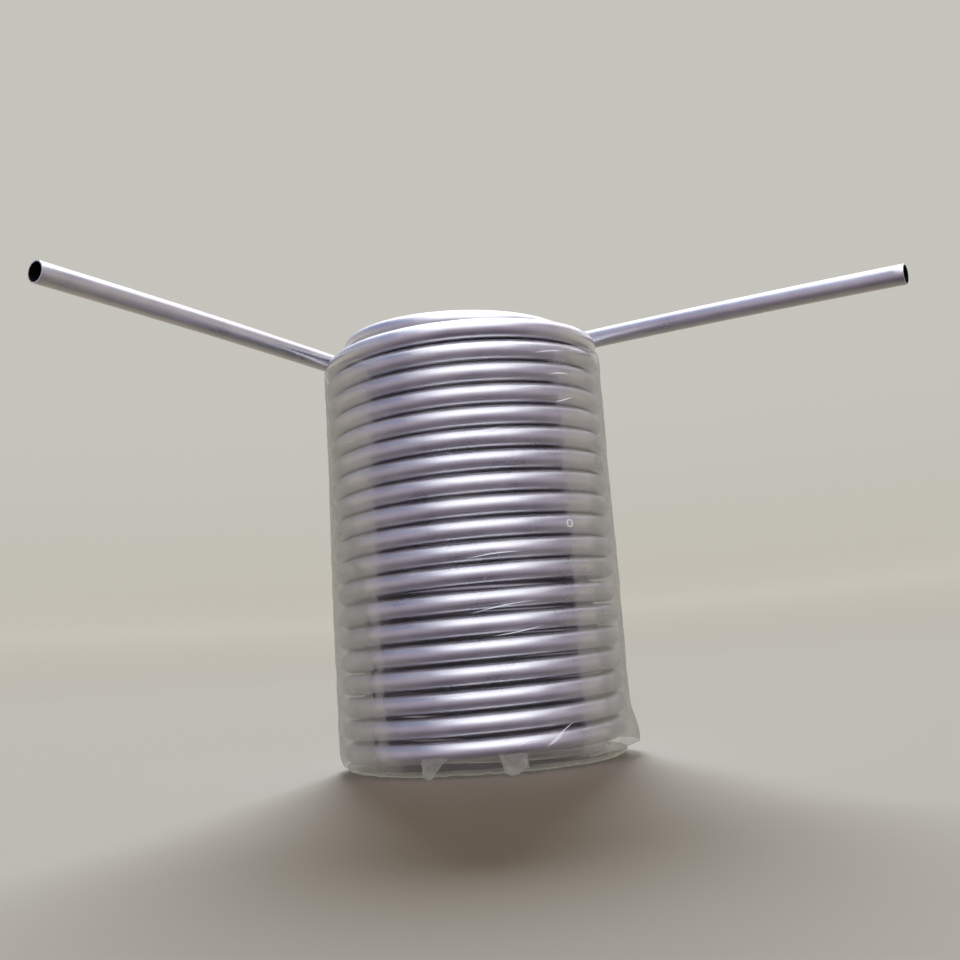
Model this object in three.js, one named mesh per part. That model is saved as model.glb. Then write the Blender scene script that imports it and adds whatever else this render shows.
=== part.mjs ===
// Immersion wort chiller, in millimetres, +Z up, standing on the fold of its packing film.
// One stainless tube is wound clockwise (seen from above) from its inlet leg: down the outer layer, across under
// the coil, back up the inner layer, and out over the rim as the outlet leg. Clear stretch film holds the turns.
import * as THREE from 'three';

// Driving dimensions: the tube
const TUBE_OD = 9.525;
const TUBE_WALL = 0.6;
const OUTSIDE_SIDES = 8;
const BORE_SIDES = 6;

// Driving dimensions: the winding. Its angle runs along the tube from 0 where the inlet leg meets the coil.
const OUTER_MEAN_R = 62.9;
const LAYER_STEP = 9.81;
const UPPER_PITCH = 9.98;
const UPPER_TURNS = 11.6;
const SPREAD = 0.9;
const SPREAD_TURNS = 0.6;
const LOWER_PITCH = 10.49;
const OUTER_TURNS = 19;
const CROSSOVER_TURNS = 0.5;
const INNER_TURNS = 19.75;
const INLET_HEIGHT = 202.0;
const OUTLET_RISE = 6.95;
const STEPS_PER_TURN = 16;
const START_DIRECTION = Math.PI;

// Driving dimensions: the legs, straight tangents to the two layers
const INLET_LEG_LENGTH = 200.3;
const INLET_LEG_SLOPE = THREE.MathUtils.degToRad(2.73);
const OUTLET_LEG_LENGTH = 205.8;
const OUTLET_LEG_SLOPE = THREE.MathUtils.degToRad(-1.05);

// Driving dimensions: the film
const FILM_THICKNESS = 0.4;
const FILM_CLEARANCE = 0.5;
const FILM_TOP = 189.6;
const FOLD_HEIGHT = 5.6;
const FOLD_INNER_R = 50;
const FOLD_FLAT_R = 62;
const FILM_SEGMENTS = 48;
const FLAP_WIDTH = 13;
const FLAP_HEIGHT = 8.5;
const FLAP_STAND_OFF = 0.8;
const LEFT_FLAP_DIRECTION = THREE.MathUtils.degToRad(285);
const RIGHT_FLAP_DIRECTION = THREE.MathUtils.degToRad(313);

// Gaps between touching solids
const JOINT_GAP = 0.4;

const TUBE_R = TUBE_OD / 2;
const TURN = 2 * Math.PI;
const INNER_MEAN_R = OUTER_MEAN_R - LAYER_STEP;
const OUTER_END = OUTER_TURNS * TURN;
const INNER_START = OUTER_END + CROSSOVER_TURNS * TURN;
const INNER_END = INNER_START + INNER_TURNS * TURN;
const LOW_HEIGHT = outerHeight(OUTER_TURNS);
const INNER_RISE = (INLET_HEIGHT + OUTLET_RISE - LOW_HEIGHT) / (INNER_END - INNER_START);

// The bore is a little wider than the true one, so that the faceted wall has the true wall's section area.
const outsideArea = polygonArea(OUTSIDE_SIDES, TUBE_R);
const wallArea = Math.PI * (TUBE_R ** 2 - (TUBE_R - TUBE_WALL) ** 2);
const BORE_VERTEX_R = Math.sqrt((outsideArea - wallArea) / polygonArea(BORE_SIDES, 1));

const stainless = () => new THREE.MeshStandardMaterial({ color: 0xb9b9c6, roughness: 0.28, metalness: 1 });
const film = () => new THREE.MeshStandardMaterial({
  color: 0xd9dad6, roughness: 0.2, metalness: 0, transparent: true, opacity: 0.35,
});

function polygonArea(sides, radius) {
  return 0.5 * sides * radius ** 2 * Math.sin(2 * Math.PI / sides);
}

function polygonPoints(sides, radius) {
  return Array.from({ length: sides }, (_, i) => {
    const angle = 2 * Math.PI * i / sides;
    return new THREE.Vector2(radius * Math.cos(angle), radius * Math.sin(angle));
  });
}

function tubeSection() {
  const section = new THREE.Shape(polygonPoints(OUTSIDE_SIDES, TUBE_R));
  section.holes.push(new THREE.Path(polygonPoints(BORE_SIDES, BORE_VERTEX_R).reverse()));
  return section;
}

// The upper turns of the outer layer are wound more tightly, and the lower ones begin after a slightly wider gap.
function outerHeight(turns) {
  const upperFall = UPPER_PITCH * Math.min(turns, UPPER_TURNS);
  const lowerFall = LOWER_PITCH * Math.max(turns - UPPER_TURNS, 0);
  const spreadFall = SPREAD * THREE.MathUtils.smoothstep(turns, UPPER_TURNS, UPPER_TURNS + SPREAD_TURNS);
  return INLET_HEIGHT - upperFall - lowerFall - spreadFall;
}

// Centreline of the wound tube. The crossover eases from the outer radius to the inner one, while its slope
// turns steadily from falling to rising.
function woundPoint(angle) {
  let radius = OUTER_MEAN_R;
  let height = outerHeight(angle / TURN);
  if (angle > OUTER_END) {
    const along = Math.min(angle - OUTER_END, INNER_START - OUTER_END);
    const share = along / (INNER_START - OUTER_END);
    radius -= LAYER_STEP * THREE.MathUtils.smoothstep(share, 0, 1);
    height = LOW_HEIGHT - LOWER_PITCH * along / TURN * (1 - share);
  }
  if (angle > INNER_START) {
    height = LOW_HEIGHT + INNER_RISE * (angle - INNER_START);
  }
  const direction = START_DIRECTION - angle;
  return new THREE.Vector3(radius * Math.cos(direction), radius * Math.sin(direction), height);
}

class Winding extends THREE.Curve {
  constructor(from, to) {
    super();
    this.from = from;
    this.to = to;
  }

  getPoint(share) {
    return woundPoint(THREE.MathUtils.lerp(this.from, this.to, share));
  }

  // Even steps of angle, so that the corners of both layers lie on the same radii
  getPointAt(share) {
    return this.getPoint(share);
  }

  getTangentAt(share) {
    return this.getTangent(share);
  }

  getSpacedPoints(divisions) {
    return this.getPoints(divisions);
  }
}

function tube(name, path, steps) {
  const geometry = new THREE.ExtrudeGeometry(tubeSection(), { steps, bevelEnabled: false, extrudePath: path });
  return named(name, geometry, stainless());
}

function woundTube(name, from, to) {
  const steps = Math.round((to - from) / TURN * STEPS_PER_TURN);
  return tube(name, new Winding(from, to), steps);
}

function straightTube(name, start, heading, slope, length) {
  const direction = new THREE.Vector3(
    Math.cos(heading) * Math.cos(slope), Math.sin(heading) * Math.cos(slope), Math.sin(slope),
  );
  const from = start.clone().addScaledVector(direction, JOINT_GAP);
  const to = start.clone().addScaledVector(direction, length);
  return tube(name, new THREE.LineCurve3(from, to), 1);
}

function inletLeg() {
  const heading = START_DIRECTION + Math.PI / 2;
  return straightTube('inlet_leg', woundPoint(0), heading, INLET_LEG_SLOPE, INLET_LEG_LENGTH);
}

function outletLeg() {
  const heading = START_DIRECTION - INNER_END - Math.PI / 2;
  return straightTube('outlet_leg', woundPoint(INNER_END), heading, OUTLET_LEG_SLOPE, OUTLET_LEG_LENGTH);
}

function bottomCrossover() {
  return woundTube('bottom_crossover', OUTER_END + JOINT_GAP / OUTER_MEAN_R, INNER_START - JOINT_GAP / INNER_MEAN_R);
}

const FILM_INNER_R = OUTER_MEAN_R + TUBE_R + FILM_CLEARANCE;
const FILM_OUTER_R = FILM_INNER_R + FILM_THICKNESS;

function turned(name, profile) {
  const ring = named(name, new THREE.LatheGeometry(profile, FILM_SEGMENTS), film());
  ring.rotation.x = Math.PI / 2;
  return ring;
}

function filmSleeve() {
  const bottom = FOLD_HEIGHT + JOINT_GAP;
  return turned('film_sleeve', [
    new THREE.Vector2(FILM_INNER_R, bottom),
    new THREE.Vector2(FILM_OUTER_R, bottom),
    new THREE.Vector2(FILM_OUTER_R, FILM_TOP),
    new THREE.Vector2(FILM_INNER_R, FILM_TOP),
    new THREE.Vector2(FILM_INNER_R, bottom),
  ]);
}

// The film below the last turn is tucked in under the coil, where it lies flat and carries the weight.
function filmBaseFold() {
  const fold = new THREE.Path();
  fold.moveTo(FOLD_INNER_R, FILM_THICKNESS);
  fold.lineTo(FOLD_INNER_R, 0);
  fold.lineTo(FOLD_FLAT_R, 0);
  fold.quadraticCurveTo(FILM_OUTER_R, 0, FILM_OUTER_R, FOLD_HEIGHT);
  fold.lineTo(FILM_INNER_R, FOLD_HEIGHT);
  fold.quadraticCurveTo(FILM_INNER_R, FILM_THICKNESS, FOLD_FLAT_R, FILM_THICKNESS);
  fold.lineTo(FOLD_INNER_R, FILM_THICKNESS);
  const stepsPerCurve = 4;
  return turned('film_base_fold', fold.getPoints(stepsPerCurve));
}

// A crumpled corner of the fold, standing just outside it
function filmFlap(name, direction) {
  const outline = new THREE.Shape();
  outline.moveTo(-FLAP_WIDTH / 2, FLAP_HEIGHT);
  outline.quadraticCurveTo(-FLAP_WIDTH / 3, 0, -FLAP_WIDTH / 8, 0);
  outline.lineTo(FLAP_WIDTH / 8, 0);
  outline.quadraticCurveTo(FLAP_WIDTH / 3, 0, FLAP_WIDTH / 2, FLAP_HEIGHT);
  const geometry = new THREE.ExtrudeGeometry(outline, { depth: FILM_THICKNESS, bevelEnabled: false, curveSegments: 4 });
  const flap = named(name, geometry, film());
  flap.rotation.x = Math.PI / 2;
  flap.position.set(0, -FILM_OUTER_R - FLAP_STAND_OFF, JOINT_GAP);
  const turn = new THREE.Group();
  turn.rotation.z = direction + Math.PI / 2;
  turn.add(flap);
  return turn;
}

function named(name, geometry, material) {
  const mesh = new THREE.Mesh(geometry, material);
  mesh.name = name;
  return mesh;
}

const wound = new THREE.Group();
wound.add(inletLeg());
wound.add(woundTube('outer_coil', 0, OUTER_END));
wound.add(bottomCrossover());
wound.add(woundTube('inner_coil', INNER_START, INNER_END));
wound.add(outletLeg());

const packing = new THREE.Group();
packing.add(filmSleeve());
packing.add(filmBaseFold());
packing.add(filmFlap('film_flap_left', LEFT_FLAP_DIRECTION));
packing.add(filmFlap('film_flap_right', RIGHT_FLAP_DIRECTION));

// The origin is the middle of the whole outline, at the height of the fold's flat face.
const chiller = new THREE.Group();
chiller.add(wound, packing);
const middle = new THREE.Box3().setFromObject(chiller, true).getCenter(new THREE.Vector3());
chiller.position.set(-middle.x, -middle.y, 0);

export default chiller;
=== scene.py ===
"""Immersion wort chiller: one long stainless tube wound in two layers, in the clear film it is packed in."""
import math

import bmesh
import bpy
from mathutils import Matrix, Vector, noise


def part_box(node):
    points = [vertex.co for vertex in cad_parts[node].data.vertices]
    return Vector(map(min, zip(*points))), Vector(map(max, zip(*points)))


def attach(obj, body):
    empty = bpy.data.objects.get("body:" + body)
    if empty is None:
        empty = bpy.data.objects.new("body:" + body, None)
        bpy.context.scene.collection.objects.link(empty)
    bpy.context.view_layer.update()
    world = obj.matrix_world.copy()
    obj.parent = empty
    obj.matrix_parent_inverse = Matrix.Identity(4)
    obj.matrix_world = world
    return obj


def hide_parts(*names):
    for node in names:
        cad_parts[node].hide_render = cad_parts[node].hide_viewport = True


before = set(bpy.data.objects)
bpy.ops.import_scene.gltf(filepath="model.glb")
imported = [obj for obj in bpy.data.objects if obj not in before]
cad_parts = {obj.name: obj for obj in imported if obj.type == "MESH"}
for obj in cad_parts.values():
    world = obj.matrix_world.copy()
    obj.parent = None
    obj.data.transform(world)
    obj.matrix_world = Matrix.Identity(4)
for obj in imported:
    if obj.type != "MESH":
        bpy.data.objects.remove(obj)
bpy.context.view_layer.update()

# ---------------------------------------------------------------------------------------------------------
# Viewpoint. A hand-held camera near the height of the coil's foot, square to the corner between the two
# legs, tipped up a little and turned a few degrees, so that the coil leans slightly.
# ---------------------------------------------------------------------------------------------------------
sleeve_low, sleeve_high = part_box("film_sleeve")
coil_axis = Vector(((sleeve_low.x + sleeve_high.x) / 2, (sleeve_low.y + sleeve_high.y) / 2, 0))

look_heading = math.radians(123.6)
look_up = math.radians(8.3)
camera_roll = math.radians(3.96)
camera_distance = 0.5644
camera_height = 0.0538
camera_sidestep = 0.0054

heading = Vector((math.cos(look_heading), math.sin(look_heading), 0))
right = heading.cross(Vector((0, 0, 1)))
forward = heading * math.cos(look_up) + Vector((0, 0, math.sin(look_up)))
upward = right.cross(forward)
roll = Matrix.Rotation(camera_roll, 3, forward)
camera_data = bpy.data.cameras.new("camera")
camera_data.lens = 43.1
camera_data.sensor_width = 36
camera = bpy.data.objects.new("camera", camera_data)
turned = Matrix((roll @ right, roll @ upward, roll @ -forward)).transposed()
camera.matrix_world = Matrix.Translation(
    coil_axis + right * camera_sidestep - heading * camera_distance + Vector((0, 0, camera_height))
) @ turned.to_4x4()
bpy.context.scene.collection.objects.link(camera)
bpy.context.scene.camera = camera

# ---------------------------------------------------------------------------------------------------------
# The outer coil: nineteen close turns of thin-walled bright stainless tube, bent cold round a drum from the
# inlet leg downwards. The turns lie almost against each other, never quite evenly.
# ---------------------------------------------------------------------------------------------------------
tube_radius = 0.0047625
tube_wall = 0.0006
outer_radius = 0.0629
layer_step = 0.00981
upper_pitch = 0.00998
upper_turns = 11.6
spread = 0.0009
spread_turns = 0.6
lower_pitch = 0.01049
outer_turns = 19
crossover_turns = 0.5
inner_turns = 19.75
inner_start = outer_turns + crossover_turns
inner_end = inner_start + inner_turns
inlet_height = 0.202
outlet_height = 0.20895
stations_per_turn = 60
outside_sides = 24
bore_sides = 12


def eased(value, low, high):
    """Runs smoothly from 0 at low to 1 at high, whichever of the two is larger."""
    share = min(1, max(0, (value - low) / (high - low)))
    return share * share * (3 - 2 * share)


def outer_height(turn):
    """The centreline's height in the outer layer, which is wound tighter in its upper turns."""
    fall = upper_pitch * min(turn, upper_turns) + lower_pitch * max(turn - upper_turns, 0)
    return inlet_height - fall - spread * eased(turn, upper_turns, upper_turns + spread_turns)


def uneven(turn):
    """How far an outer turn has settled below its even place, in metres. It fades out at both ends."""
    if not 0 < turn < outer_turns:
        return 0
    ripple = 0.00018 * noise.noise(Vector((turn * 0.9, 3.1, 0))) + 0.00006 * math.sin(5.3 * turn)
    return ripple * min(1, turn, outer_turns - turn)


def wound_point(turn):
    """A point on the wound tube's centreline, counted in turns from the inlet leg."""
    radius = outer_radius
    height = outer_height(turn) - uneven(turn)
    low_height = outer_height(outer_turns)
    if turn > outer_turns:
        share = min(1, (turn - outer_turns) / crossover_turns)
        radius -= layer_step * eased(share, 0, 1)
        height = low_height - lower_pitch * crossover_turns * share * (1 - share)
    if turn > inner_start:
        height = low_height + (outlet_height - low_height) * (turn - inner_start) / inner_turns
    direction = math.pi - turn * math.tau
    return coil_axis + Vector((radius * math.cos(direction), radius * math.sin(direction), height))


def station(point, along, outward):
    """The tube's section at a point: x outward from the coil, y up across the tube, z along it."""
    along = along.normalized()
    across = along.cross(outward).normalized()
    out = across.cross(along)
    columns = Matrix((out, across, along)).transposed().to_4x4()
    return Matrix.Translation(point) @ columns


def wound_stations(first, last):
    count = round((last - first) * stations_per_turn)
    found = []
    for step in range(count + 1):
        turn = first + (last - first) * step / count
        small = 0.0005
        along = wound_point(turn + small) - wound_point(turn - small)
        direction = math.pi - turn * math.tau
        outward = Vector((math.cos(direction), math.sin(direction), 0))
        found.append(station(wound_point(turn), along, outward))
    return found


def next_ring(bm, rim):
    """Extrudes a rim of edges and returns the new ring's vertices and its rim."""
    made = bmesh.ops.extrude_edge_only(bm, edges=rim)["geom"]
    verts = [part for part in made if isinstance(part, bmesh.types.BMVert)]
    edges = [part for part in made if isinstance(part, bmesh.types.BMEdge)]
    return verts, [edge for edge in edges if len(edge.link_faces) == 1]


def tube_stretch(stations, travelled):
    """Sweeps the tube's outside and bore through one stretch of stations, open at both ends.

    The attribute tube_place holds the distance along the tube and the place in its section, for the finish.
    """
    bm = bmesh.new()
    place = bm.verts.layers.float_vector.new("tube_place")
    outside = bmesh.ops.create_circle(bm, segments=outside_sides, radius=tube_radius)["verts"]
    bore = bmesh.ops.create_circle(bm, segments=bore_sides, radius=tube_radius - tube_wall)["verts"]
    for vert in outside + bore:
        vert[place] = Vector((travelled, vert.co.x, vert.co.y))
    bmesh.ops.transform(bm, matrix=stations[0], verts=outside + bore)
    rim = list(bm.edges)
    for before, after in zip(stations, stations[1:]):
        travelled += (after.translation - before.translation).length
        verts, rim = next_ring(bm, rim)
        bmesh.ops.transform(bm, matrix=after @ before.inverted(), verts=verts)
        for vert in verts:
            vert[place].x = travelled
    return bm, travelled


def swept_tube(name, stations, node, metal, deburred_end=False):
    """Joins stretches of tube of about a turn each and closes both ends with the wall's rings.

    The outside gets its bright metal, and the bore its own dull one, whose near-black colour is painted shade
    for the dark inside of the tube.
    """
    whole = bmesh.new()
    travelled = 0.0
    for first in range(0, len(stations) - 1, stations_per_turn):
        stretch, travelled = tube_stretch(stations[first:first + stations_per_turn + 1], travelled)
        carried = bpy.data.meshes.new("stretch")
        stretch.to_mesh(carried)
        stretch.free()
        whole.from_mesh(carried)
        bpy.data.meshes.remove(carried)
    bmesh.ops.remove_doubles(whole, verts=whole.verts, dist=tube_wall / 50)
    for end in (stations[0], stations[-1]):
        ring = [
            edge for edge in whole.edges
            if edge.is_boundary and (edge.verts[0].co - end.translation).length < 2 * tube_radius
        ]
        bmesh.ops.triangle_fill(whole, edges=ring, use_beauty=True, use_dissolve=False)
    if deburred_end:
        deburr = 0.00012
        bmesh.ops.bevel(whole, geom=ring, offset=deburr, segments=2, profile=0.5, affect="EDGES", material=-1)
    bmesh.ops.recalc_face_normals(whole, faces=whole.faces)
    place = whole.verts.layers.float_vector["tube_place"]
    bore_reach = tube_radius - tube_wall / 2
    for face in whole.faces:
        if all(vert[place].yz.length < bore_reach for vert in face.verts):
            face.material_index = 1
    piece = finished(whole, name, [node])
    piece.data.materials.append(metal)
    piece.data.materials.append(bore_painted_dark_metal)


def finished(bm, name, nodes, sharp=40):
    """Writes a bmesh to a piece that rides on the chiller's one body and stands for its nodes."""
    mesh = bpy.data.meshes.new(name)
    bm.to_mesh(mesh)
    bm.free()
    for face in mesh.polygons:
        face.use_smooth = True
    mesh.set_sharp_from_angle(angle=math.radians(sharp))
    piece = bpy.data.objects.new(name, mesh)
    bpy.context.scene.collection.objects.link(piece)
    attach(piece, "root")
    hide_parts(*nodes)
    return piece


def add_nodes(tree, **kinds):
    """Adds shader nodes by name to a tree and returns them by those names."""
    return {name: tree.nodes.new(kind) for name, kind in kinds.items()}


def ramp_between(ramp, *stops):
    """Sets a colour ramp's stops, each a position and a grey or a colour."""
    elements = ramp.color_ramp.elements
    while len(elements) < len(stops):
        elements.new(0.5)
    for element, (position, value) in zip(elements, stops):
        element.position = position
        element.color = (value, value, value, 1) if isinstance(value, float) else (*value, 1)


def bright_drawn_stainless(name):
    """Bright stainless tube: fine lines drawn along it, faint hand smudges, and a slightly uneven polish."""
    material = bpy.data.materials.new(name)
    material.use_nodes = True
    tree = material.node_tree
    shader = tree.nodes["Principled BSDF"]
    shader.inputs["Metallic"].default_value = 1
    node = add_nodes(
        tree, place="ShaderNodeAttribute", along="ShaderNodeMapping", lines="ShaderNodeTexNoise",
        coords="ShaderNodeTexCoord", smudges="ShaderNodeTexNoise", mottle="ShaderNodeTexNoise",
        polish="ShaderNodeMapRange", smear="ShaderNodeMath", roughness="ShaderNodeMath",
        colour="ShaderNodeValToRGB", tone="ShaderNodeMath", bump="ShaderNodeBump", wave="ShaderNodeBump",
    )
    link = tree.links.new
    node["place"].attribute_name = "tube_place"
    node["along"].inputs["Scale"].default_value = (16, 5200, 5200)
    link(node["place"].outputs["Vector"], node["along"].inputs["Vector"])
    link(node["along"].outputs["Vector"], node["lines"].inputs["Vector"])
    node["lines"].inputs["Scale"].default_value = 1
    node["lines"].inputs["Detail"].default_value = 3
    link(node["coords"].outputs["Object"], node["smudges"].inputs["Vector"])
    node["smudges"].inputs["Scale"].default_value = 55
    node["smudges"].inputs["Detail"].default_value = 5
    link(node["coords"].outputs["Object"], node["mottle"].inputs["Vector"])
    node["mottle"].inputs["Scale"].default_value = 340
    node["mottle"].inputs["Detail"].default_value = 2
    # polish: smudged patches are duller, and the drawn lines break the shine up along the tube
    node["polish"].inputs["From Min"].default_value = 0.35
    node["polish"].inputs["From Max"].default_value = 0.7
    node["polish"].inputs["To Min"].default_value = 0.24
    node["polish"].inputs["To Max"].default_value = 0.36
    link(node["smudges"].outputs["Fac"], node["polish"].inputs["Value"])
    node["smear"].operation = "MULTIPLY"
    node["smear"].inputs[1].default_value = 0.06
    link(node["lines"].outputs["Fac"], node["smear"].inputs[0])
    node["roughness"].operation = "ADD"
    link(node["polish"].outputs["Result"], node["roughness"].inputs[0])
    link(node["smear"].outputs["Value"], node["roughness"].inputs[1])
    link(node["roughness"].outputs["Value"], shader.inputs["Roughness"])
    # colour: a cool grey that darkens slightly in the drawn lines
    node["tone"].operation = "MULTIPLY_ADD"
    node["tone"].inputs[1].default_value = 0.5
    link(node["lines"].outputs["Fac"], node["tone"].inputs[0])
    link(node["smudges"].outputs["Fac"], node["tone"].inputs[2])
    ramp_between(node["colour"], (0.45, (0.52, 0.52, 0.56)), (0.95, (0.68, 0.67, 0.69)))
    link(node["tone"].outputs["Value"], node["colour"].inputs["Fac"])
    link(node["colour"].outputs["Color"], shader.inputs["Base Color"])
    # surface: the drawn lines, over a shallow waviness left by the bending
    node["wave"].inputs["Strength"].default_value = 0.06
    node["wave"].inputs["Distance"].default_value = 0.0004
    link(node["mottle"].outputs["Fac"], node["wave"].inputs["Height"])
    node["bump"].inputs["Strength"].default_value = 0.1
    node["bump"].inputs["Distance"].default_value = 0.00004
    link(node["lines"].outputs["Fac"], node["bump"].inputs["Height"])
    link(node["wave"].outputs["Normal"], node["bump"].inputs["Normal"])
    link(node["bump"].outputs["Normal"], shader.inputs["Normal"])
    return material


def bore_painted_dark_finish(name):
    """The tube's inside, never polished: dull and streaked along its length. Its near-black colour is painted
    shade, standing in for the dark inside of the tube.
    """
    material = bpy.data.materials.new(name)
    material.use_nodes = True
    tree = material.node_tree
    shader = tree.nodes["Principled BSDF"]
    shader.inputs["Metallic"].default_value = 0.5
    shader.inputs["Specular IOR Level"].default_value = 0.2
    node = add_nodes(
        tree, place="ShaderNodeAttribute", along="ShaderNodeMapping", streaks="ShaderNodeTexNoise",
        colour="ShaderNodeValToRGB", dullness="ShaderNodeMapRange",
    )
    link = tree.links.new
    node["place"].attribute_name = "tube_place"
    node["along"].inputs["Scale"].default_value = (40, 1500, 1500)
    link(node["place"].outputs["Vector"], node["along"].inputs["Vector"])
    link(node["along"].outputs["Vector"], node["streaks"].inputs["Vector"])
    node["streaks"].inputs["Scale"].default_value = 1
    node["streaks"].inputs["Detail"].default_value = 3
    # painted shade: the bore's colour is kept near black in place of the shade inside the tube
    ramp_between(node["colour"], (0.3, (0.006, 0.006, 0.008)), (0.8, (0.02, 0.019, 0.022)))
    link(node["streaks"].outputs["Fac"], node["colour"].inputs["Fac"])
    link(node["colour"].outputs["Color"], shader.inputs["Base Color"])
    node["dullness"].inputs["To Min"].default_value = 0.55
    node["dullness"].inputs["To Max"].default_value = 0.8
    link(node["streaks"].outputs["Fac"], node["dullness"].inputs["Value"])
    link(node["dullness"].outputs["Result"], shader.inputs["Roughness"])
    return material


# the bore's finish carries painted shade: near black for the dark inside of the tube
bore_painted_dark_metal = bore_painted_dark_finish("stainless_inside_painted_dark")
coil_metal = bright_drawn_stainless("stainless_coil")
swept_tube("outer_coil_tube", wound_stations(0, outer_turns), "outer_coil", coil_metal)

# ---------------------------------------------------------------------------------------------------------
# The crossover and the inner coil: at the foot the same tube steps inwards over half a turn and climbs
# back up inside the first layer, turn against turn, to the height where it leaves as the outlet leg.
# ---------------------------------------------------------------------------------------------------------
swept_tube(
    "bottom_crossover_tube", wound_stations(outer_turns, inner_start), "bottom_crossover",
    coil_metal,
)
swept_tube(
    "inner_coil_tube", wound_stations(inner_start, inner_end), "inner_coil", coil_metal,
)

# ---------------------------------------------------------------------------------------------------------
# The two legs: the straight ends of the tube, left long so that hoses can be pushed onto them. Each runs
# out at a tangent, at right angles to the other, and is cut square and lightly deburred.
# ---------------------------------------------------------------------------------------------------------
inlet_leg_length = 0.2003
inlet_leg_rise = math.radians(2.73)
outlet_leg_length = 0.2058
outlet_leg_rise = math.radians(-1.05)
leg_stations = 40
leg_bow = 0.0008


def leg_point(root, heading, rise, length, share):
    """A point on a leg's centreline. The leg is bowed upwards by a hair, as hand-straightened tube is."""
    bow = leg_bow * 4 * share * (1 - share)
    level = Vector((heading.x, heading.y, 0)) * math.cos(rise) * length * share
    return root + level + Vector((0, 0, math.sin(rise) * length * share + bow))


def leg(name, turn, heading, rise, length, node):
    """Sweeps a leg from its mouth to the end of the coil that it belongs to."""
    root = wound_point(turn)
    shares = [1 - step / leg_stations for step in range(leg_stations + 1)]
    outward = Vector((root.x - coil_axis.x, root.y - coil_axis.y, 0))
    stations = []
    for share in shares:
        point = leg_point(root, heading, rise, length, share)
        small = 0.001
        inward = leg_point(root, heading, rise, length, share - small) - leg_point(
            root, heading, rise, length, share + small)
        stations.append(station(point, inward, outward))
    stations.reverse()
    swept_tube(name, stations, node, leg_metal, deburred_end=True)


leg_metal = bright_drawn_stainless("stainless_leg")
leg("inlet_leg_tube", 0, Vector((0, -1, 0)), inlet_leg_rise, inlet_leg_length, "inlet_leg")
leg("outlet_leg_tube", inner_end, Vector((1, 0, 0)), outlet_leg_rise, outlet_leg_length, "outlet_leg")

# ---------------------------------------------------------------------------------------------------------
# The film sleeve: clear packing film wrapped tight round the outer coil and shrunk on. It lies clear and
# invisible where it touches the metal, and turns milky where it stands off in loose tents at both sides.
# ---------------------------------------------------------------------------------------------------------
front = math.atan2(-heading.y, -heading.x)
film_radius = 0.0680
film_thickness = 0.00012
film_top = 0.1896
film_foot = 0.0009
film_columns = 256
film_rows = 146
groove_sag = 0.0003


def from_front(direction):
    """Degrees round the coil from the side between the two legs, from -180 to 180."""
    return math.degrees((direction - front + math.pi) % math.tau - math.pi)


def looseness(turned_by, height):
    """How loose the film is, from 0 where it clings to 1 in the tents. It lifts off more gently higher up."""
    ragged = 2.2 * noise.noise(Vector((height * 90, 5.0, 0)))
    ragged += 2 * noise.noise(Vector((height * 260, 8.0, 0)))
    upper = eased(height, 0.06, 0.18)
    left_edge = -44 - 9 * upper + ragged
    right_edge = 50 + 3 * upper - 1.6 * ragged
    left = eased(turned_by, left_edge, left_edge - 3 - 16 * upper) * eased(turned_by, -150, -140)
    right_side = eased(turned_by, right_edge, right_edge + 5 + 14 * upper) * eased(turned_by, 158, 146)
    patchy = 0.85 + 0.5 * noise.noise(Vector((turned_by * 0.11, height * 120, 3.0)))
    return min(1, patchy) * max(left, right_side)


def turns_above(height):
    """How many turns of the outer layer lie above a height."""
    turn = (inlet_height - height) / upper_pitch
    if turn > upper_turns:
        turn = upper_turns + (inlet_height - spread - upper_pitch * upper_turns - height) / lower_pitch
    return turn


def film_point(direction, height):
    """A point on the inside of the film, and how loose it is there."""
    turned_by = from_front(direction)
    loose = looseness(turned_by, height)
    lap = ((math.pi - direction) / math.tau) % 1
    phase = turns_above(height) - lap
    sag = groove_sag * (1 - math.cos(math.tau * phase)) / 2 * (1 - 0.8 * loose)
    low = eased(height, 0.17, 0.05)
    left = 0.0019 * eased(turned_by, -50, -88) * eased(turned_by, -150, -105) * (0.15 + 0.85 * low)
    right_side = 0.0013 * eased(turned_by, 50, 88) * eased(turned_by, 158, 110) * (0.4 + 0.6 * low)
    flare = 0.0034 * eased(height, 0.026, 0.009) * eased(turned_by, 58, 86) * eased(turned_by, 125, 96)
    place = Vector((turned_by * 0.09, height * 40, 1.7))
    crumple = 0.00018 * noise.noise(place) + 0.0001 * noise.noise(place * 3.1)
    folds = abs(noise.noise(Vector((turned_by * 0.12 + height * 70, height * 32, 9.0))))
    wrinkle = 0.0009 * loose * (0.5 - folds) + abs(crumple)
    radius = film_radius - sag + left + right_side + flare + wrinkle
    place = coil_axis + Vector((radius * math.cos(direction), radius * math.sin(direction), height))
    return place, loose


def film_edge(direction):
    """The height of the film's uneven upper edge."""
    turned_by = math.radians(from_front(direction))
    wave = 0.0012 * noise.noise(Vector((3 * math.cos(turned_by), 3 * math.sin(turned_by), 0.4)))
    return film_top - 0.0022 + 0.0042 * math.sin(turned_by) ** 2 + wave


def film_lower_edge(direction):
    """The height of the film's lower edge, which rides up at the sides, most of all on the right."""
    turned_by = math.radians(from_front(direction))
    lift = 0.0024 if turned_by < 0 else 0.0048
    wave = 0.0007 * noise.noise(Vector((5 * math.cos(turned_by), 5 * math.sin(turned_by), 2.4)))
    return film_foot + lift * math.sin(turned_by) ** 2 + wave * math.cos(turned_by / 2)


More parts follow.
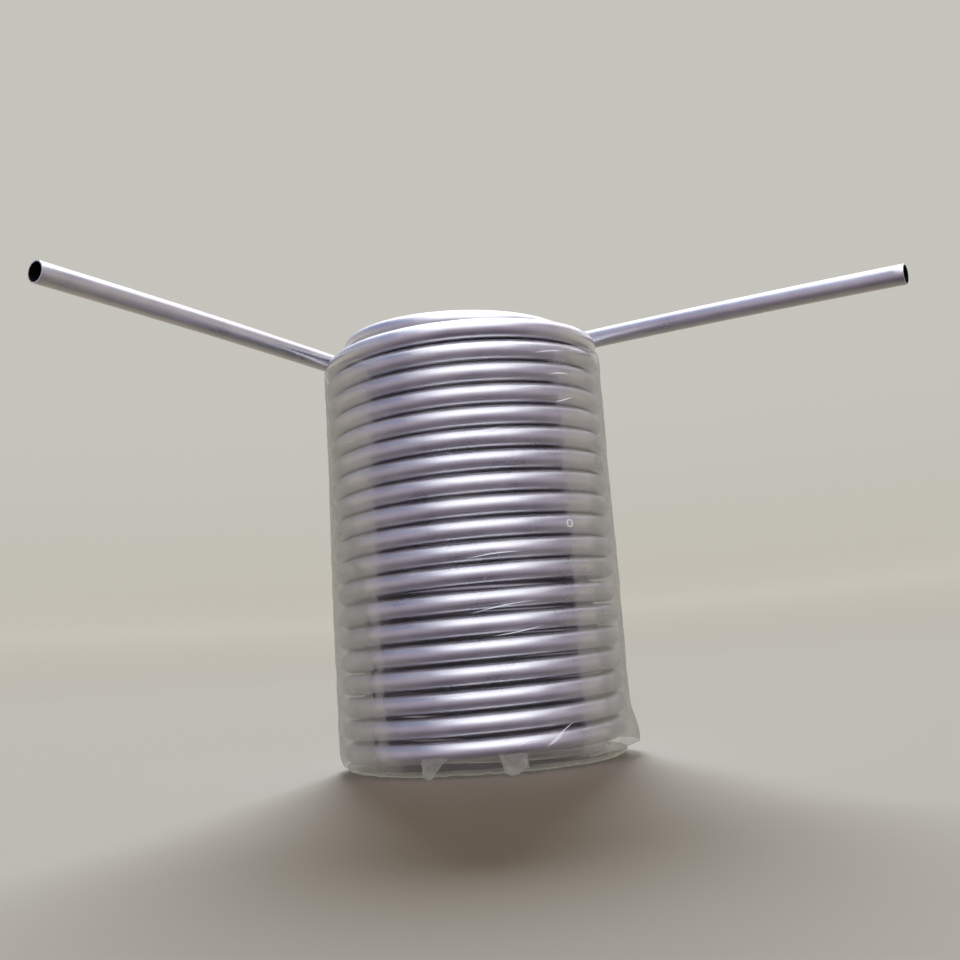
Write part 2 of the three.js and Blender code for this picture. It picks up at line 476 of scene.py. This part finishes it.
def film_rings(ring_points, sides):
    """Extrudes a ring of film through a list of rings, each given as a function of the direction."""
    bm = bmesh.new()
    loose = bm.verts.layers.float.new("film_loose")
    ring = bmesh.ops.create_circle(bm, segments=sides, radius=film_radius)["verts"]
    bmesh.ops.translate(bm, vec=coil_axis, verts=ring)
    rim = list(bm.edges)
    for number, ring_point in enumerate(ring_points):
        if number:
            ring, rim = next_ring(bm, rim)
        for vert in ring:
            direction = math.atan2(vert.co.y - coil_axis.y, vert.co.x - coil_axis.x)
            vert.co, vert[loose] = ring_point(direction)
    bmesh.ops.recalc_face_normals(bm, faces=bm.faces)
    return bm


def sleeve_ring(row):
    """The ring of the sleeve at a row, counted from its foot, where it turns in a little."""
    def ring_point(direction):
        foot = film_lower_edge(direction)
        height = foot + (film_edge(direction) - foot) * row / film_rows
        place, loose = film_point(direction, height)
        tuck = 0.0022 * eased(height, 0.0075, 0.0005)
        return place - Vector((math.cos(direction), math.sin(direction), 0)) * tuck, loose
    return ring_point


def thicken(piece, thickness, outwards=1):
    """Gives a sheet of film its thickness."""
    wall = piece.modifiers.new("wall", "SOLIDIFY")
    wall.thickness = thickness
    wall.offset = outwards


def clear_film(name, cloud, milk, painted_glow=0.0):
    """Clear film: see-through with a gloss where it clings, and cloudy grey where it is loose or crumpled.

    Its last argument paints a glint: the milky part glows with a faint light of its own, standing in for the
    light that sharp folds catch.
    """
    material = bpy.data.materials.new(name)
    material.use_nodes = True
    tree = material.node_tree
    cloudy_with_painted_glow = tree.nodes["Principled BSDF"]
    cloudy_with_painted_glow.inputs["Roughness"].default_value = 0.32
    cloudy_with_painted_glow.inputs["IOR"].default_value = 1.45
    # painted glint: the milky part's own glow, a light that stands in for light caught by sharp folds
    cloudy_with_painted_glow.inputs["Emission Color"].default_value = (0.9, 0.94, 1, 1)
    cloudy_with_painted_glow.inputs["Emission Strength"].default_value = painted_glow
    node = add_nodes(
        tree, coords="ShaderNodeTexCoord", loose="ShaderNodeAttribute", blotch="ShaderNodeTexNoise",
        scratch="ShaderNodeTexNoise", stretch="ShaderNodeMapping", uneven="ShaderNodeMapRange",
        grazing="ShaderNodeLayerWeight", edge="ShaderNodeMapRange", haze="ShaderNodeMath",
        density="ShaderNodeMath", total="ShaderNodeMath", crinkle="ShaderNodeBump",
        fresnel="ShaderNodeFresnel", faint="ShaderNodeMath", clear="ShaderNodeBsdfTransparent",
        gloss="ShaderNodeBsdfGlossy", pane="ShaderNodeMixShader", film="ShaderNodeMixShader",
        colour="ShaderNodeValToRGB",
    )
    link = tree.links.new
    node["loose"].attribute_name = "film_loose"
    link(node["coords"].outputs["Object"], node["blotch"].inputs["Vector"])
    node["blotch"].inputs["Scale"].default_value = 90
    node["blotch"].inputs["Detail"].default_value = 6
    node["stretch"].inputs["Rotation"].default_value = (0, math.radians(24), 0)
    node["stretch"].inputs["Scale"].default_value = (260, 260, 900)
    link(node["coords"].outputs["Object"], node["stretch"].inputs["Vector"])
    link(node["stretch"].outputs["Vector"], node["scratch"].inputs["Vector"])
    node["scratch"].inputs["Scale"].default_value = 1
    node["scratch"].inputs["Detail"].default_value = 4
    # cloudiness: the loose film's own, blotched, and what is seen along the film at a low angle
    node["uneven"].inputs["From Min"].default_value = 0.3
    node["uneven"].inputs["From Max"].default_value = 0.7
    node["uneven"].inputs["To Min"].default_value = 0.75
    node["uneven"].inputs["To Max"].default_value = 1.2
    link(node["blotch"].outputs["Fac"], node["uneven"].inputs["Value"])
    node["haze"].operation = "MULTIPLY"
    link(node["loose"].outputs["Fac"], node["haze"].inputs[0])
    link(node["uneven"].outputs["Result"], node["haze"].inputs[1])
    node["grazing"].inputs["Blend"].default_value = 0.5
    node["edge"].inputs["From Min"].default_value = 0.62
    node["edge"].inputs["From Max"].default_value = 1.0
    node["edge"].inputs["To Max"].default_value = 0.2
    link(node["grazing"].outputs["Facing"], node["edge"].inputs["Value"])
    node["density"].operation = "MULTIPLY_ADD"
    node["density"].inputs[1].default_value = cloud
    link(node["haze"].outputs["Value"], node["density"].inputs[0])
    link(node["edge"].outputs["Result"], node["density"].inputs[2])
    node["total"].operation = "ADD"
    node["total"].use_clamp = True
    node["total"].inputs[1].default_value = 0.015
    link(node["density"].outputs["Value"], node["total"].inputs[0])
    # the milk is slightly darker in some of its blotches
    ramp_between(node["colour"], (0.3, tuple(0.86 * part for part in milk)), (0.75, milk))
    link(node["blotch"].outputs["Fac"], node["colour"].inputs["Fac"])
    link(node["colour"].outputs["Color"], cloudy_with_painted_glow.inputs["Base Color"])
    # fine crinkles, which break up the gloss
    node["crinkle"].inputs["Strength"].default_value = 0.35
    node["crinkle"].inputs["Distance"].default_value = 0.0002
    link(node["scratch"].outputs["Fac"], node["crinkle"].inputs["Height"])
    for shader in (cloudy_with_painted_glow, node["gloss"], node["fresnel"]):
        link(node["crinkle"].outputs["Normal"], shader.inputs["Normal"])
    node["gloss"].inputs["Roughness"].default_value = 0.16
    node["fresnel"].inputs["IOR"].default_value = 1.4
    node["faint"].operation = "MULTIPLY"
    node["faint"].inputs[1].default_value = 0.35
    link(node["fresnel"].outputs["Fac"], node["faint"].inputs[0])
    link(node["faint"].outputs["Value"], node["pane"].inputs["Fac"])
    link(node["clear"].outputs["BSDF"], node["pane"].inputs[1])
    link(node["gloss"].outputs["BSDF"], node["pane"].inputs[2])
    link(node["total"].outputs["Value"], node["film"].inputs["Fac"])
    link(node["pane"].outputs["Shader"], node["film"].inputs[1])
    link(cloudy_with_painted_glow.outputs["BSDF"], node["film"].inputs[2])
    link(node["film"].outputs["Shader"], tree.nodes["Material Output"].inputs["Surface"])
    return material


sleeve_film = clear_film("stretch_film", 0.17, (0.82, 0.82, 0.80))
sleeve = finished(
    film_rings([sleeve_ring(row) for row in range(film_rows + 1)], film_columns),
    "film_sleeve_wrap", ["film_sleeve"],
)
sleeve.data.materials.append(sleeve_film)
thicken(sleeve, film_thickness)

# ---------------------------------------------------------------------------------------------------------
# The foot of the film: below the last turn the same film is gathered into pleats and tucked flat under the
# coil, where the shrinking has left it cloudy.
# ---------------------------------------------------------------------------------------------------------
fold_outer_radius = 0.0667
fold_top = 0.0032
fold_flat_radius = 0.0615
fold_inner_radius = 0.050
fold_floor = 0.0004
fold_steps = 14
pleat_depth = 0.0009
turn_under_share = 0.55


def fold_ring(step):
    """A ring of the tucked film: it curves under first, then runs flat towards the middle."""
    share = step / fold_steps

    def ring_point(direction):
        loose = looseness(from_front(direction), fold_top)
        outward = Vector((math.cos(direction), math.sin(direction), 0))
        curve = min(1, share / turn_under_share)
        flat = max(0, share - turn_under_share) / (1 - turn_under_share)
        angle = curve * math.pi / 2
        radius = fold_flat_radius + (fold_outer_radius - fold_flat_radius) * math.cos(angle)
        radius -= (fold_flat_radius - fold_inner_radius) * flat
        height = fold_floor + (fold_top - fold_floor) * (1 - math.sin(angle))
        pleat = abs(noise.noise(Vector((9 * outward.x, 9 * outward.y, 4.2))))
        pleat += 0.5 * abs(noise.noise(Vector((21 * outward.x, 21 * outward.y, 1.1 + share))))
        pinch = pleat_depth * (1.3 * pleat - 0.35) * math.sin(min(1, 2.2 * share) * math.pi / 2)
        height = max(fold_floor, height + pinch * curve)
        place = coil_axis + outward * (radius - 0.9 * pinch * math.cos(angle)) + Vector((0, 0, height))
        return place, max(loose, 0.35 + 0.5 * curve)
    return ring_point


film_foot_fold = finished(
    film_rings([fold_ring(step) for step in range(fold_steps + 1)], film_columns),
    "film_base_gather", ["film_base_fold"],
)
film_foot_fold.data.materials.append(clear_film("gathered_film", 0.36, (0.88, 0.82, 0.66)))
thicken(film_foot_fold, film_thickness)

# ---------------------------------------------------------------------------------------------------------
# Two crumpled flaps: corners of the film that were left over when its foot was tucked in. They stick out
# at the front, folded in on themselves and stiff enough to stand.
# ---------------------------------------------------------------------------------------------------------
flap_cells = 14
# a faint painted glint: the crumpled film glows a little with a light of its own
flap_faint_glow_material = clear_film("crumpled_faint_glow_film", 0.5, (0.90, 0.87, 0.81), painted_glow=0.03)


def crumpled_flap(name, node, seed, lean, narrowing):
    """A tab of film pinched into a few sharp folds, in the box of its node."""
    low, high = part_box(node)
    middle = (low + high) / 2
    outward = Vector((middle.x - coil_axis.x, middle.y - coil_axis.y, 0)).normalized()
    sideways = Vector((0, 0, 1)).cross(outward)
    width = 0.0125
    height = high.z - low.z
    root_radius = film_radius + 0.0009
    bm = bmesh.new()
    loose = bm.verts.layers.float.new("film_loose")
    bmesh.ops.create_grid(bm, x_segments=flap_cells, y_segments=flap_cells, size=0.5)
    for vert in bm.verts:
        across, down = vert.co.x, 0.5 - vert.co.y
        fold = abs((across * 3.1 + down * 0.9 + seed) % 1 - 0.5) * 2
        rumple = noise.noise(Vector((across * 4, down * 3.5, seed * 7)))
        stand_off = 0.0022 * fold * down ** 0.6 + 0.0016 * rumple * down + 0.0028 * down * down
        corner = 0.0011 * noise.noise(Vector((across * 3, seed * 3.3, down)))
        spread = across * (1 - narrowing * down) + lean * down
        vert.co = coil_axis + outward * (root_radius + stand_off) + sideways * width * spread
        vert.co.z = max(low.z, high.z - height * down * (0.86 + 0.2 * math.cos(across * 5 + seed)) + corner)
        vert[loose] = min(1, 0.5 + 0.7 * down)
    bmesh.ops.recalc_face_normals(bm, faces=bm.faces)
    flap = finished(bm, name, [node], sharp=28)
    flap.data.materials.append(flap_faint_glow_material)
    thicken(flap, film_thickness)
    return flap


flap_left = crumpled_flap("film_flap_left_tab", "film_flap_left", 0.35, -0.12, 0.45)
flap_right = crumpled_flap("film_flap_right_tab", "film_flap_right", 0.9, 0.06, 0.15)

# ---------------------------------------------------------------------------------------------------------
# Creases in the film: short sharp ridges where the film was pulled tight across the turns, and one small
# trapped bubble. They catch some light, and a painted glint makes them thin white lines: they glow on their
# own.
# ---------------------------------------------------------------------------------------------------------
crease_half_width = 0.00018
crease_half_height = 0.00012
crease_steps = 16
crease_places = (
    ((-3, 0.0922), (18, 0.0943), 0.0006),
    ((-2, 0.0685), (22.5, 0.0727), 0.0008),
    ((6, 0.0585), (24.5, 0.0618), -0.0004),
    ((22, 0.0094), (35, 0.0198), 0.0005),
    ((11, 0.0118), (20.5, 0.0142), 0.0003),
    ((24, 0.0108), (30, 0.0156), -0.0003),
    ((30, 0.1838), (44, 0.1862), 0.0004),
    ((36, 0.1746), (46, 0.1757), 0.0003),
    ((20, 0.1668), (31, 0.1686), 0.0003),
    ((5, 0.1478), (14, 0.1492), 0.0002),
    ((-14, 0.1271), (-4, 0.1259), 0.0002),
    ((38, 0.1618), (48, 0.1652), -0.0003),
)


def on_film(turned_by, height):
    """A point just outside the film, and the direction away from the coil there."""
    direction = front + math.radians(turned_by)
    outward = Vector((math.cos(direction), math.sin(direction), 0))
    return film_point(direction, height)[0] + outward * film_thickness, outward


def crease_station(start, end, sway, share):
    """A crease's section at a share of its length: a flat lens that pinches out towards both ends."""
    small = 0.01
    places = []
    for nearby in (share - small, share, share + small):
        height = start[1] + (end[1] - start[1]) * nearby + sway * math.sin(math.pi * nearby)
        places.append(on_film(start[0] + (end[0] - start[0]) * nearby, height))
    swell = 0.08 + 0.92 * math.sin(math.pi * share)
    size = Matrix.Diagonal((crease_half_height * swell, crease_half_width * swell, 1, 1))
    return station(places[1][0], places[2][0] - places[0][0], places[1][1]) @ size


# painted glint: the creases and the bubble's rim glow at strength 0.55 to show as thin white lines
crease_painted_glow_material = clear_film("creased_painted_glow_film", 0.8, (0.9, 0.9, 0.92), painted_glow=0.55)


def ridge(name, stations):
    """Sweeps a ridge of creased film through its stations."""
    bm = bmesh.new()
    loose = bm.verts.layers.float.new("film_loose")
    ring = bmesh.ops.create_circle(bm, segments=8, radius=1)["verts"]
    bmesh.ops.transform(bm, matrix=stations[0], verts=ring)
    first_rim = list(bm.edges)
    rim = first_rim
    for before, after in zip(stations, stations[1:]):
        verts, rim = next_ring(bm, rim)
        bmesh.ops.transform(bm, matrix=after @ before.inverted(), verts=verts)
    bmesh.ops.holes_fill(bm, edges=first_rim + rim)
    for vert in bm.verts:
        vert[loose] = 1
    bmesh.ops.recalc_face_normals(bm, faces=bm.faces)
    piece = finished(bm, name, [])
    piece.data.materials.append(crease_painted_glow_material)
    return piece


for number, (start, end, sway) in enumerate(crease_places):
    stations = [crease_station(start, end, sway, step / crease_steps) for step in range(crease_steps + 1)]
    ridge(f"film_crease_{number + 1:02d}", stations)

bubble_place, bubble_outward = on_film(40.5, 0.1063)
bubble_radius = 0.0016
bubble_steps = 32
bm = bmesh.new()
loose = bm.verts.layers.float.new("film_loose")
bmesh.ops.create_circle(bm, segments=10, radius=crease_half_height)
bmesh.ops.translate(bm, vec=(bubble_radius, 0, 0), verts=bm.verts)
bmesh.ops.rotate(bm, matrix=Matrix.Rotation(math.pi / 2, 3, "X"), verts=bm.verts)
bmesh.ops.spin(
    bm, geom=list(bm.edges), axis=(0, 0, 1), cent=(0, 0, 0), angle=math.tau, steps=bubble_steps,
    use_merge=True,
)
for vert in bm.verts:
    vert[loose] = 1
bmesh.ops.recalc_face_normals(bm, faces=bm.faces)
facing = bubble_outward.to_track_quat("Z", "Y").to_matrix().to_4x4()
bmesh.ops.transform(bm, matrix=Matrix.Translation(bubble_place) @ facing, verts=bm.verts)
bubble = finished(bm, "film_bubble_rim", [])
# the bubble's rim glows like the creases: painted glint
bubble.data.materials.append(crease_painted_glow_material)

# ---------------------------------------------------------------------------------------------------------
# The stage: a pale cloth-coloured floor that runs up into a wall far behind, one soft lamp high at the
# back, and a room with a wide window behind the viewer, bright overhead and darker below. Matt surfaces
# get an even light instead of the room, warmer from above.
# ---------------------------------------------------------------------------------------------------------
floor_radius = 2.4
wall_height = 3.2
corner_radius = 0.9
middle_radius = 0.02
floor_gap = 0.0002
profile = bmesh.new()
start = profile.verts.new((middle_radius, 0, -floor_gap))
flat_end = profile.verts.new((floor_radius, 0, -floor_gap))
profile.edges.new((start, flat_end))
bmesh.ops.spin(
    profile, geom=[flat_end], axis=(0, -1, 0), cent=(floor_radius, 0, corner_radius),
    angle=math.pi / 2, steps=16,
)
profile.verts.ensure_lookup_table()
top = max(profile.verts, key=lambda vert: vert.co.z + vert.co.x)
rise = bmesh.ops.extrude_vert_indiv(profile, verts=[top])
bmesh.ops.translate(profile, vec=(0, 0, wall_height), verts=rise["verts"])
bmesh.ops.spin(
    profile, geom=list(profile.verts) + list(profile.edges), axis=(0, 0, 1), cent=(0, 0, 0),
    angle=math.tau, steps=96, use_merge=True,
)
middle_hole = [edge for edge in profile.edges if edge.is_boundary and edge.verts[0].co.z < 1]
bmesh.ops.holes_fill(profile, edges=middle_hole)
bmesh.ops.translate(profile, vec=coil_axis, verts=profile.verts)
bmesh.ops.recalc_face_normals(profile, faces=profile.faces)
bmesh.ops.reverse_faces(profile, faces=profile.faces)
stage_mesh = bpy.data.meshes.new("stage")
profile.to_mesh(stage_mesh)
profile.free()
for face in stage_mesh.polygons:
    face.use_smooth = True
stage = bpy.data.objects.new("stage", stage_mesh)
bpy.context.scene.collection.objects.link(stage)
stage.visible_glossy = False
stage.visible_diffuse = False
stage.visible_shadow = False

cloth = bpy.data.materials.new("pale_backdrop")
cloth.use_nodes = True
cloth_tree = cloth.node_tree
cloth_shader = cloth_tree.nodes["Principled BSDF"]
cloth_shader.inputs["Base Color"].default_value = (0.62, 0.585, 0.53, 1)
cloth_shader.inputs["Roughness"].default_value = 0.9
cloth_shader.inputs["Specular IOR Level"].default_value = 0.1
cloth_shader.inputs["Emission Color"].default_value = (0.42, 0.42, 0.385, 1)
lamp_elevation = math.radians(33)
lamp_from = heading * math.cos(lamp_elevation) + Vector((0, 0, math.sin(lamp_elevation)))
# The wall makes up with its own glow for the lamp's light, which it loses as it turns upright.
cloth_node = add_nodes(
    cloth_tree, surface="ShaderNodeNewGeometry", towards="ShaderNodeVectorMath", glow="ShaderNodeMapRange",
)
cloth_node["towards"].operation = "DOT_PRODUCT"
cloth_node["towards"].inputs[1].default_value = lamp_from
cloth_tree.links.new(cloth_node["surface"].outputs["Normal"], cloth_node["towards"].inputs[0])
cloth_tree.links.new(cloth_node["towards"].outputs["Value"], cloth_node["glow"].inputs["Value"])
cloth_node["glow"].inputs["From Min"].default_value = math.sin(lamp_elevation)
cloth_node["glow"].inputs["From Max"].default_value = 0
cloth_tree.links.new(cloth_node["glow"].outputs["Result"], cloth_shader.inputs["Emission Strength"])
stage_mesh.materials.append(cloth)

lamp_data = bpy.data.lights.new("lamp", "SUN")
lamp_data.energy = 4.2
lamp_data.angle = math.radians(26)
lamp_data.color = (0.86, 0.94, 1)
lamp = bpy.data.objects.new("lamp", lamp_data)
lamp.rotation_euler = lamp_from.to_track_quat("Z", "Y").to_euler()
lamp.visible_glossy = False
bpy.context.scene.collection.objects.link(lamp)
bpy.context.scene.view_settings.view_transform = "Standard"

world = bpy.data.worlds.new("room")
world.use_nodes = True
# The room isn't sampled as a lamp, so matt surfaces get only the even light that their own rays meet.
world.cycles.sampling_method = "NONE"
bpy.context.scene.world = world
room = world.node_tree


def room_math(operation, first, second=None, third=None, clamp=False):
    """A maths node in the room's light. Each input is a number or another node's output."""
    node = room.nodes.new("ShaderNodeMath")
    node.operation = operation
    node.use_clamp = clamp
    for socket, value in zip(node.inputs, (first, second, third)):
        if isinstance(value, bpy.types.NodeSocket):
            room.links.new(value, socket)
        elif value is not None:
            socket.default_value = value
    return node.outputs["Value"]


def share_towards(direction):
    """How far a ray points in a direction, from -1 to 1."""
    node = room.nodes.new("ShaderNodeVectorMath")
    node.operation = "DOT_PRODUCT"
    room.links.new(ray, node.inputs[0])
    node.inputs[1].default_value = direction
    return node.outputs["Value"]


def room_step(value, low, high):
    """Runs smoothly from 0 at low to 1 at high."""
    node = room.nodes.new("ShaderNodeMapRange")
    node.interpolation_type = "SMOOTHSTEP"
    room.links.new(value, node.inputs["Value"])
    node.inputs["From Min"].default_value = low
    node.inputs["From Max"].default_value = high
    return node.outputs["Result"]


def room_mix(share, first, second):
    """Mixes two colours, each a colour or another node's output."""
    node = room.nodes.new("ShaderNodeMix")
    node.data_type = "RGBA"
    room.links.new(share, node.inputs["Factor"])
    for socket, value in ((node.inputs[6], first), (node.inputs[7], second)):
        if isinstance(value, bpy.types.NodeSocket):
            room.links.new(value, socket)
        else:
            socket.default_value = (*value, 1)
    return node.outputs[2]


ray = room.nodes.new("ShaderNodeTexCoord").outputs["Generated"]
up_share = share_towards((0, 0, 1))
side_share = share_towards(right)
near_share = share_towards(-heading)

far_wall = (0.62, 0.58, 0.50)
near_wall = (0.52, 0.45, 0.54)
left_ceiling = (0.36, 0.42, 0.66)
right_ceiling = (0.44, 0.39, 0.50)
near_floor = (0.11, 0.085, 0.115)
far_floor = (0.30, 0.27, 0.22)
window_light = (2.4, 2.45, 2.6)
fill_from_above = (0.16, 0.12, 0.075)
fill_from_below = (0.28, 0.31, 0.34)

wall_colour = room_mix(room_step(near_share, -0.3, 0.4), far_wall, near_wall)
ceiling_colour = room_mix(room_step(side_share, -0.35, 0.35), left_ceiling, right_ceiling)
upper_colour = room_mix(room_step(up_share, 0.15, 0.75), wall_colour, ceiling_colour)
floor_colour = room_mix(room_step(near_share, -0.4, 0.5), far_floor, near_floor)
room_colour = room_mix(room_step(up_share, 0.12, -0.95), upper_colour, floor_colour)

window_side = room_math("ABSOLUTE", room_math("SUBTRACT", side_share, 0.10))
window_width = room_step(window_side, 0.72, 0.34)
window_foot = room_step(up_share, -0.15, 0.75)
window_back = room_step(near_share, -0.92, -0.6)
window = room_math("MULTIPLY", room_math("MULTIPLY", window_width, window_foot), window_back)
lit_colour = room_mix(window, room_colour, window_light)
soft_fill = room_mix(room_step(up_share, -0.1, 0.3), fill_from_below, fill_from_above)
fill_rays = room.nodes.new("ShaderNodeLightPath").outputs["Is Diffuse Ray"]
room.links.new(room_mix(fill_rays, lit_colour, soft_fill), room.nodes["Background"].inputs["Color"])
